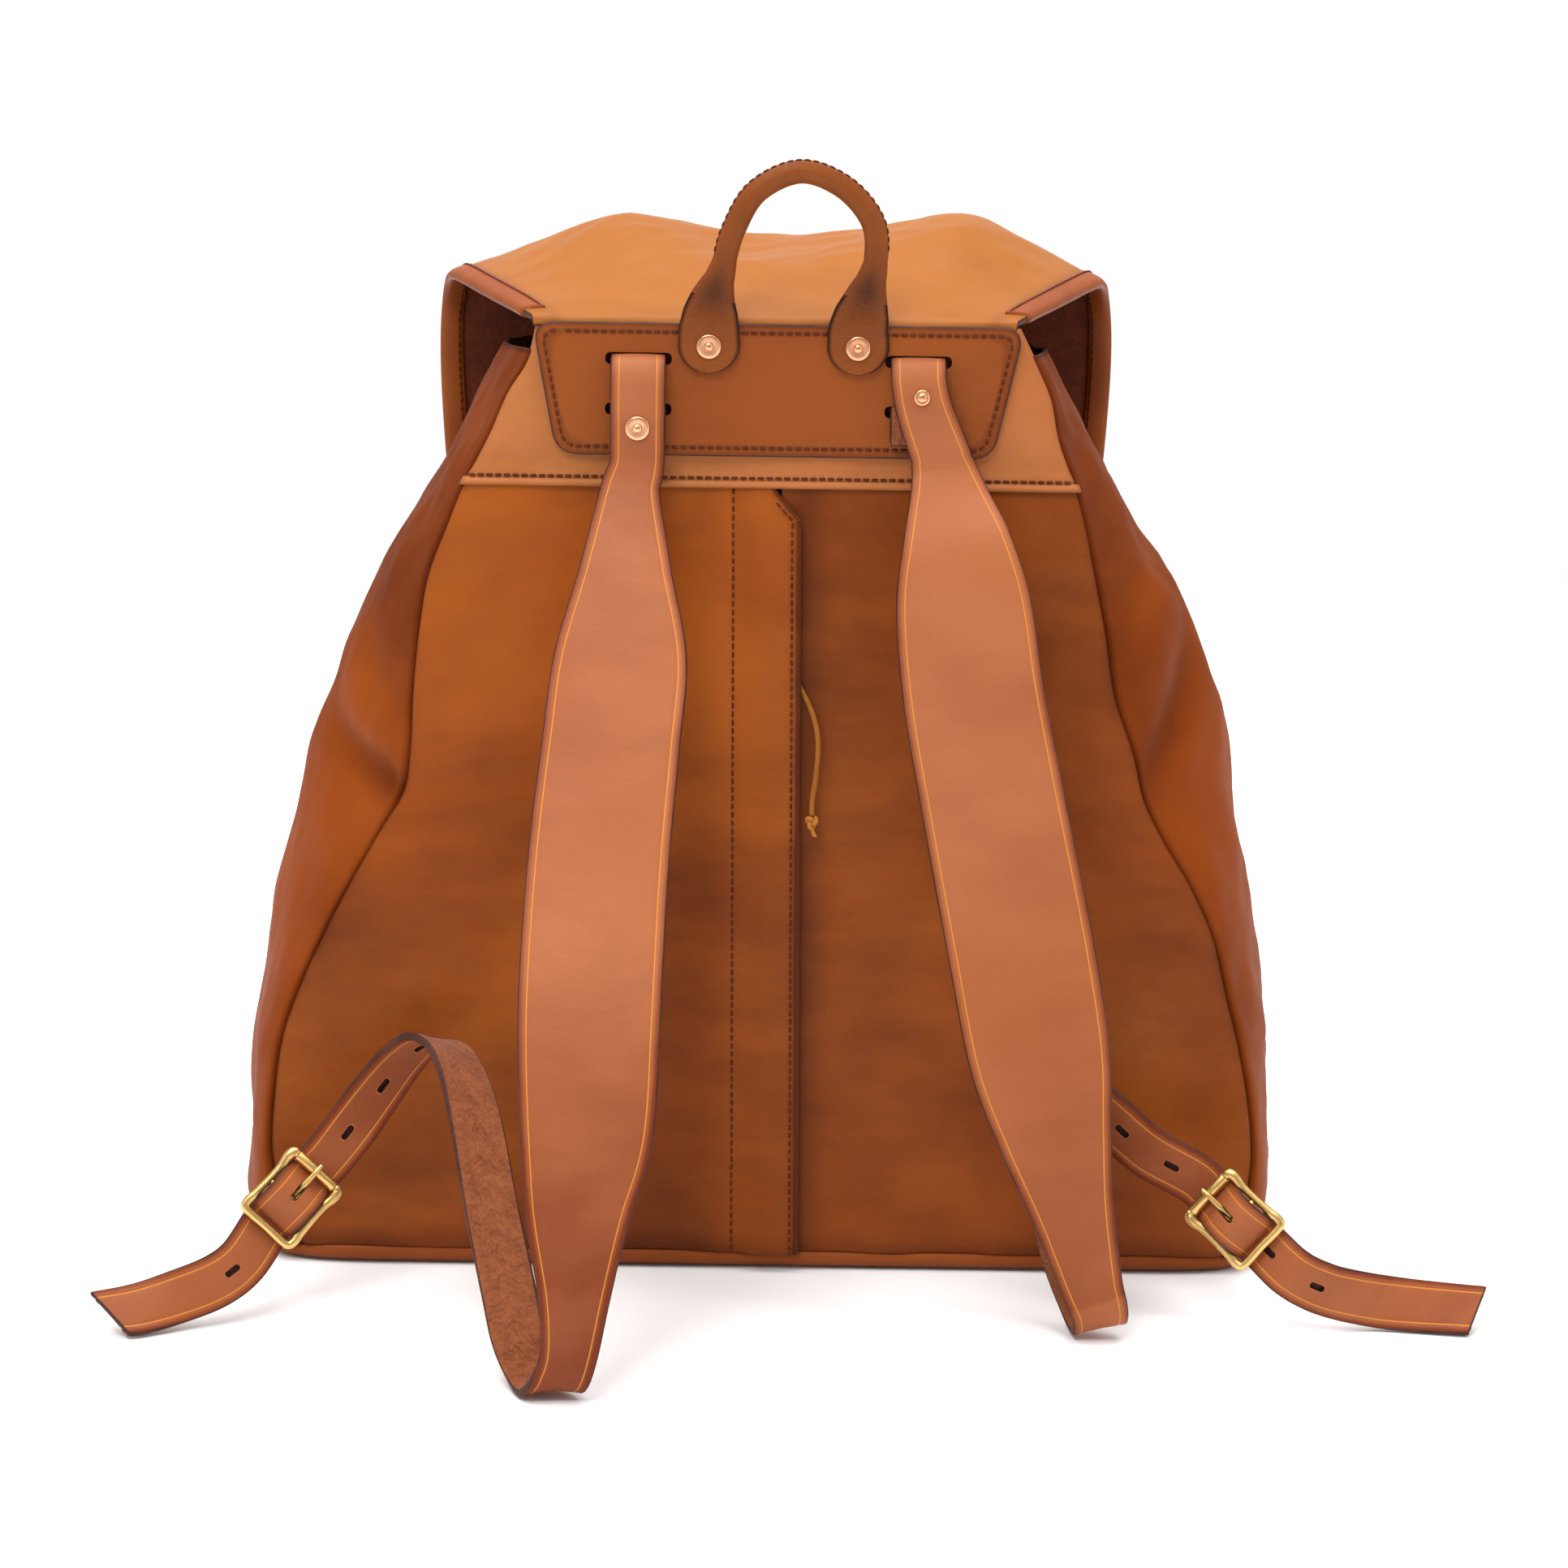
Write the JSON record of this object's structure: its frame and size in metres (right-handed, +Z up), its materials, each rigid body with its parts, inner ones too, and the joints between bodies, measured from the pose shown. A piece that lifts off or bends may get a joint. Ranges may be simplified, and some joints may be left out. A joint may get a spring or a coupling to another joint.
{
  "type": "leather backpack",
  "caption": "Tan leather rucksack with a bound flap lid, rolled carry handle, shaped shoulder straps on roller buckles and a covered back zip.",
  "frame": {"origin": "centre of the underside of the base, on the floor", "axes": "+Z up; the back with the shoulder straps faces -Y and the front faces +Y; +X is to the right as the back is looked at, and is the longest extent, from strap tail to strap tail"},
  "size_m": [0.5913, 0.3443, 0.4872],
  "materials": {
    "body_leather": "smooth aniline, warm tan, lightly polished",
    "lid_leather": "smooth aniline, lighter orange tan",
    "strap_leather": "waxed bridle leather with creased edges",
    "handle_leather": "dark burnished leather",
    "edge_leather": "folded and burnished edges",
    "brass": "polished solid brass",
    "copper": "bright copper rivets and burrs",
    "zip_tape": "woven dark brown tape",
    "lace_leather": "soft undyed mustard lace",
    "core_cord": "twisted cotton cord"
  },
  "bodies": {
    "bag": {"back_panel_left": "body_leather", "back_panel_right": "body_leather", "back_yoke": "body_leather", "gusset_left": "body_leather", "gusset_right": "body_leather", "front_panel": "body_leather", "strap_patch": "body_leather", "base_panel": "edge_leather", "strap_loop_left": "strap_leather", "strap_loop_right": "strap_leather", "strap_tail_left": "strap_leather", "strap_tail_right": "strap_leather", "handle_tab_left": "handle_leather", "handle_tab_right": "handle_leather", "buckle_left_chape": "handle_leather", "buckle_right_chape": "handle_leather", "zip_tape_left": "zip_tape", "zip_tape_right": "zip_tape", "zip_teeth": "brass", "buckle_left_frame": "brass", "buckle_right_frame": "brass", "closure_stud": "brass", "handle_left_rivet": "copper", "handle_left_burr": "copper", "handle_right_rivet": "copper", "handle_right_burr": "copper", "strap_left_rivet": "copper", "strap_left_burr": "copper", "strap_right_rivet": "copper", "strap_right_burr": "copper", "chape_left_rivet": "copper", "chape_right_rivet": "copper"},
    "lid": {"lid": "lid_leather", "lid_binding": "edge_leather", "closure_strap_root": "strap_leather", "closure_rivet_left": "copper", "closure_rivet_right": "copper"},
    "closure_tab": {"closure_tab": "strap_leather"},
    "handle": {"handle_grip": "handle_leather", "handle_core": "core_cord"},
    "zip_flap": {"zip_flap": "body_leather"},
    "zip_slider": {"zip_slider": "brass", "zip_lace": "lace_leather", "zip_lace_knot": "lace_leather"},
    "shoulder_strap_left": {"shoulder_strap_left": "strap_leather"},
    "shoulder_strap_right": {"shoulder_strap_right": "strap_leather"},
    "buckle_left_roller": {"buckle_left_roller": "brass"},
    "buckle_left_prong": {"buckle_left_prong": "brass"},
    "buckle_right_roller": {"buckle_right_roller": "brass"},
    "buckle_right_prong": {"buckle_right_prong": "brass"}
  },
  "joints": [
    {"name": "lid_hinge", "type": "hinge", "parent": "bag", "child": "lid", "pos_m": [0, -0.0734, 0.418], "axis": [1, 0, 0], "range_deg": [0, 65]},
    {"name": "closure_swing", "type": "hinge", "parent": "lid", "child": "closure_tab", "pos_m": [0, 0.101, 0.3086], "axis": [1, 0, 0], "range_deg": [0, 90]},
    {"name": "handle_fold", "type": "hinge", "parent": "bag", "child": "handle", "pos_m": [0, -0.0828, 0.41885], "axis": [1, 0, 0], "range_deg": [0, 150]},
    {"name": "zip_flap_lift", "type": "hinge", "parent": "bag", "child": "zip_flap", "pos_m": [-0.014, -0.0807, 0.1745], "axis": [0, 0, -1], "range_deg": [0, 80]},
    {"name": "zip_slide", "type": "slide", "parent": "bag", "child": "zip_slider", "axis": [0, 0, -1], "range_m": [-0.034, 0.19]},
    {"name": "left_strap_swing", "type": "hinge", "parent": "bag", "child": "shoulder_strap_left", "pos_m": [-0.057, -0.0866, 0.3652], "axis": [-1, 0, 0], "range_deg": [0, 8]},
    {"name": "right_strap_swing", "type": "hinge", "parent": "bag", "child": "shoulder_strap_right", "pos_m": [0.0605, -0.0866, 0.3652], "axis": [-1, 0, 0], "range_deg": [0, 8]},
    {"name": "left_prong_lift", "type": "hinge", "parent": "bag", "child": "buckle_left_prong", "pos_m": [-0.2005, -0.136, 0.0505], "axis": [0.7391, -0.072, -0.6698], "range_deg": [0, 35]},
    {"name": "left_roller_spin", "type": "hinge", "parent": "bag", "child": "buckle_left_roller", "pos_m": [-0.19038, -0.13048, 0.06108], "axis": [0.7391, -0.072, -0.6698], "continuous": true},
    {"name": "right_prong_lift", "type": "hinge", "parent": "bag", "child": "buckle_right_prong", "pos_m": [0.201, -0.135, 0.0465], "axis": [0.6528, 0.0312, 0.7569], "range_deg": [0, 35]},
    {"name": "right_roller_spin", "type": "hinge", "parent": "bag", "child": "buckle_right_roller", "pos_m": [0.18998, -0.12883, 0.05575], "axis": [0.6528, 0.0312, 0.7569], "continuous": true}
  ]
}
